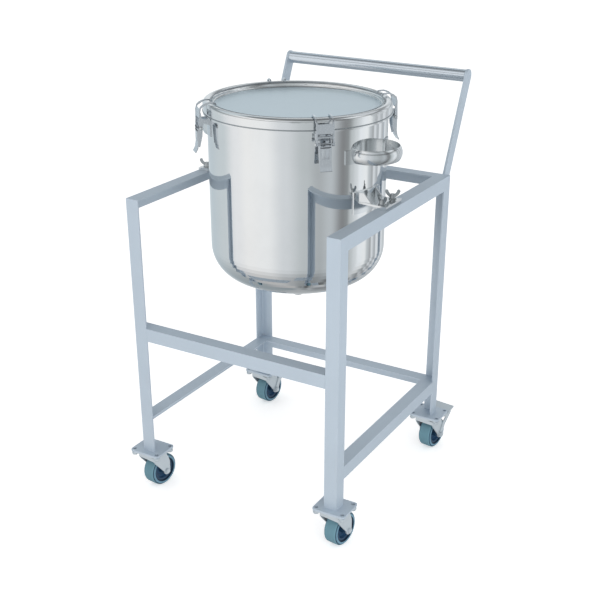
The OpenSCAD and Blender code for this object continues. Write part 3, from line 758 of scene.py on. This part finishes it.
class TANKSTAND_OT_casters(bpy.types.Operator):
    """Gives the casters their finishes, wheel bands and plate bolts"""
    bl_idname = "tank_stand.casters"
    bl_label = "Casters"

    def execute(self, context):
        c = settings().caster
        plate = zinc()
        dress(plate, "caster_plates", "pedal_rl", "pedal_rr")
        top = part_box("base_plates")[1][2]
        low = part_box("base_plates")[0][2] - PLATE_SHEET
        for k in CORNERS:
            dress(plate, "fork_" + k)
            dress(banded_rubber("grey-blue rubber " + k, tuple(c.tyre_color), 0.62, "roll_" + k, TYRE_BANDS),
                  "tyre_" + k)
            dress(banded_rubber("dark blue hub " + k, tuple(c.hub_color), 0.38, "roll_" + k, HUB_BANDS),
                  "hub_" + k)
            p = Vector(JOINTS["swivel_" + k]["pos_m"])
            bm = bmesh.new()
            for i in (-1, 1):
                for j in (-1, 1):
                    x, y = p.x + i * PLATE_BOLT[0], p.y + j * PLATE_BOLT[1]
                    add_hex(bm, (x, y, low - BOLT_HEAD / 2), c.bolt_across, BOLT_HEAD)
                    add_rod(bm, (x, y, low), (x, y, top - BOLT_SINK), BOLT_SHANK, 16)
            finish_piece(bm, "caster_bolts_" + k, "stand", plate, 40)
        return {"FINISHED"}


def fill_ramp(ramp, stops):
    """Put the stops, given as place and colour, on a colour ramp."""
    ramp.color_ramp.interpolation = "EASE"
    els = ramp.color_ramp.elements
    els[0].position, els[0].color = stops[0][0], (*stops[0][1], 1)
    els[1].position, els[1].color = stops[-1][0], (*stops[-1][1], 1)
    for pos, col in stops[1:-1]:
        e = els.new(pos)
        e.color = (*col, 1)


def direct_rays(nt):
    """1 for rays from the camera, off gloss or through glass."""
    path = nt.nodes.new("ShaderNodeLightPath")
    both = math_node(nt, "MAXIMUM", path.outputs["Is Camera Ray"], path.outputs["Is Glossy Ray"])
    return math_node(nt, "MAXIMUM", both, path.outputs["Is Transmission Ray"])


class TANKSTAND_OT_studio(bpy.types.Operator):
    """Pale floor, even light and the camera"""
    bl_idname = "tank_stand.studio"
    bl_label = "Studio and camera"

    def execute(self, context):
        scene = bpy.context.scene
        scene.view_settings.view_transform = "Standard"
        s = settings().studio
        self.floor(scene, s)
        self.walls(scene, s)
        self.lamps(scene, s)
        self.camera(scene)
        return {"FINISHED"}

    def floor(self, scene, s):
        """Wide floor, whitened only where it is seen directly."""
        bm = bmesh.new()
        bmesh.ops.create_grid(bm, x_segments=1, y_segments=1, size=FLOOR_HALF)
        me = bpy.data.meshes.new("floor")
        bm.to_mesh(me)
        bm.free()
        floor = bpy.data.objects.new("floor", me)
        scene.collection.objects.link(floor)
        floor.visible_glossy = False
        m, nt, p = new_material("pale floor")
        p.inputs["Base Color"].default_value = (*s.floor_color, 1.0)
        p.inputs["Roughness"].default_value = 0.9
        p.inputs["Specular IOR Level"].default_value = 0.0
        glow = nt.nodes.new("ShaderNodeEmission")
        glow.inputs["Strength"].default_value = s.floor_glow
        none = nt.nodes.new("ShaderNodeEmission")
        none.inputs["Strength"].default_value = 0.0
        pick = nt.nodes.new("ShaderNodeMixShader")
        nt.links.new(direct_rays(nt), pick.inputs[0])
        nt.links.new(none.outputs[0], pick.inputs[1])
        nt.links.new(glow.outputs[0], pick.inputs[2])
        both = nt.nodes.new("ShaderNodeAddShader")
        nt.links.new(p.outputs[0], both.inputs[0])
        nt.links.new(pick.outputs[0], both.inputs[1])
        nt.links.new(both.outputs[0], nt.nodes["Material Output"].inputs["Surface"])
        me.materials.append(m)

    def walls(self, scene, s):
        """Even light, white behind the object, with walls that only polished steel reflects."""
        world = bpy.data.worlds.new("studio")
        scene.world = world
        world.use_nodes = True
        nt = world.node_tree
        nt.nodes.clear()
        out = nt.nodes.new("ShaderNodeOutputWorld")
        even = nt.nodes.new("ShaderNodeBackground")
        even.inputs["Color"].default_value = (1.0, 1.0, 1.0, 1.0)
        even.inputs["Strength"].default_value = s.world_level
        seen = nt.nodes.new("ShaderNodeBackground")
        seen.inputs["Strength"].default_value = 1.0
        coord = nt.nodes.new("ShaderNodeTexCoord")
        sep = nt.nodes.new("ShaderNodeSeparateXYZ")
        nt.links.new(coord.outputs["Generated"], sep.inputs[0])
        turn = math_node(nt, "ARCTAN2", sep.outputs["Y"], sep.outputs["X"])
        turns = math_node(nt, "MULTIPLY", turn, 1 / math.tau)
        share = math_node(nt, "FRACT", math_node(nt, "ADD", turns, 1.0))
        ramp = nt.nodes.new("ShaderNodeValToRGB")
        nt.links.new(share, ramp.inputs["Fac"])
        fill_ramp(ramp, STUDIO_WALLS)
        light = nt.nodes.new("ShaderNodeLightPath")
        pick = nt.nodes.new("ShaderNodeMix")
        pick.data_type = "RGBA"
        pick.inputs["A"].default_value = (1, 1, 1, 1)
        nt.links.new(light.outputs["Is Glossy Ray"], pick.inputs["Factor"])
        fall = nt.nodes.new("ShaderNodeVectorMath")
        fall.operation = "SCALE"
        nt.links.new(ramp.outputs["Color"], fall.inputs[0])
        rise = nt.nodes.new("ShaderNodeValToRGB")
        nt.links.new(remap(nt, sep.outputs["Z"], -1.0, 1.0, 0.0, 1.0), rise.inputs["Fac"])
        fill_ramp(rise, [(pos, (level,) * 3) for pos, level in STUDIO_HEIGHTS])
        nt.links.new(rise.outputs["Color"], fall.inputs["Scale"])
        nt.links.new(fall.outputs[0], pick.inputs["B"])
        nt.links.new(pick.outputs["Result"], seen.inputs["Color"])
        mix = nt.nodes.new("ShaderNodeMixShader")
        nt.links.new(direct_rays(nt), mix.inputs[0])
        nt.links.new(even.outputs[0], mix.inputs[1])
        nt.links.new(seen.outputs[0], mix.inputs[2])
        nt.links.new(mix.outputs[0], out.inputs["Surface"])

    def lamps(self, scene, s):
        """Two large soft lamps that no picture or reflection shows."""
        for name, power, place in (("front lamp", s.front_power, FRONT_LAMP),
                                   ("right lamp", s.right_power, RIGHT_LAMP)):
            lamp = bpy.data.lights.new(name, "AREA")
            lamp.shape = "RECTANGLE"
            lamp.size, lamp.size_y = LAMP_SIDE, LAMP_SIDE
            lamp.energy = power
            o = bpy.data.objects.new(name, lamp)
            o.location = place
            o.rotation_euler = (LAMP_AIM - o.location).to_track_quat("-Z", "Y").to_euler()
            scene.collection.objects.link(o)
            o.visible_camera = False
            o.visible_glossy = False

    def camera(self, scene):
        """Camera that matches the photograph."""
        cam = bpy.data.cameras.new("camera")
        cam.sensor_width = SENSOR_WIDTH
        cam.lens = LENS_PIXELS / PICTURE_WIDTH * SENSOR_WIDTH
        cam.shift_x, cam.shift_y = (v / PICTURE_WIDTH for v in SHIFT_PIXELS)
        co = bpy.data.objects.new("camera", cam)
        level = math.cos(CAMERA_PITCH)
        forward = Vector((-math.sin(CAMERA_YAW) * level, math.cos(CAMERA_YAW) * level,
                          -math.sin(CAMERA_PITCH)))
        right = Vector((math.cos(CAMERA_YAW), math.sin(CAMERA_YAW), 0.0))
        up = right.cross(forward)
        rolled_right = right * math.cos(CAMERA_ROLL) + up * math.sin(CAMERA_ROLL)
        rolled_up = up * math.cos(CAMERA_ROLL) - right * math.sin(CAMERA_ROLL)
        turn = Matrix((rolled_right, rolled_up, -forward)).transposed().to_4x4()
        co.matrix_world = Matrix.Translation(CAMERA_PLACE) @ turn
        scene.collection.objects.link(co)
        scene.camera = co


class TANKSTAND_PT_panel(bpy.types.Panel):
    bl_label = "Tank Stand"
    bl_idname = "TANKSTAND_PT_panel"
    bl_space_type = "VIEW_3D"
    bl_region_type = "UI"
    bl_category = "Tank Stand"

    def draw(self, context):
        col = self.layout.column()
        for part in ("stand", "tank", "caster", "studio"):
            group = getattr(context.scene.tank_stand, part)
            col.label(text=part.capitalize())
            for name in group.__annotations__:
                col.prop(group, name)
        for op in OPERATORS:
            col.operator(op.bl_idname)


OPERATORS = (TANKSTAND_OT_stand, TANKSTAND_OT_tank, TANKSTAND_OT_latches, TANKSTAND_OT_casters,
             TANKSTAND_OT_studio)
CLASSES = (StandSettings, TankSettings, CasterSettings, StudioSettings, TankStandSettings,
           *OPERATORS, TANKSTAND_PT_panel)


def register():
    for c in CLASSES:
        bpy.utils.register_class(c)
    bpy.types.Scene.tank_stand = PointerProperty(type=TankStandSettings)


def unregister():
    del bpy.types.Scene.tank_stand
    for c in reversed(CLASSES):
        bpy.utils.unregister_class(c)


def main():
    register()
    bpy.ops.tank_stand.stand()
    bpy.ops.tank_stand.tank()
    bpy.ops.tank_stand.latches()
    bpy.ops.tank_stand.casters()
    bpy.ops.tank_stand.studio()


if __name__ == "__main__":
    main()
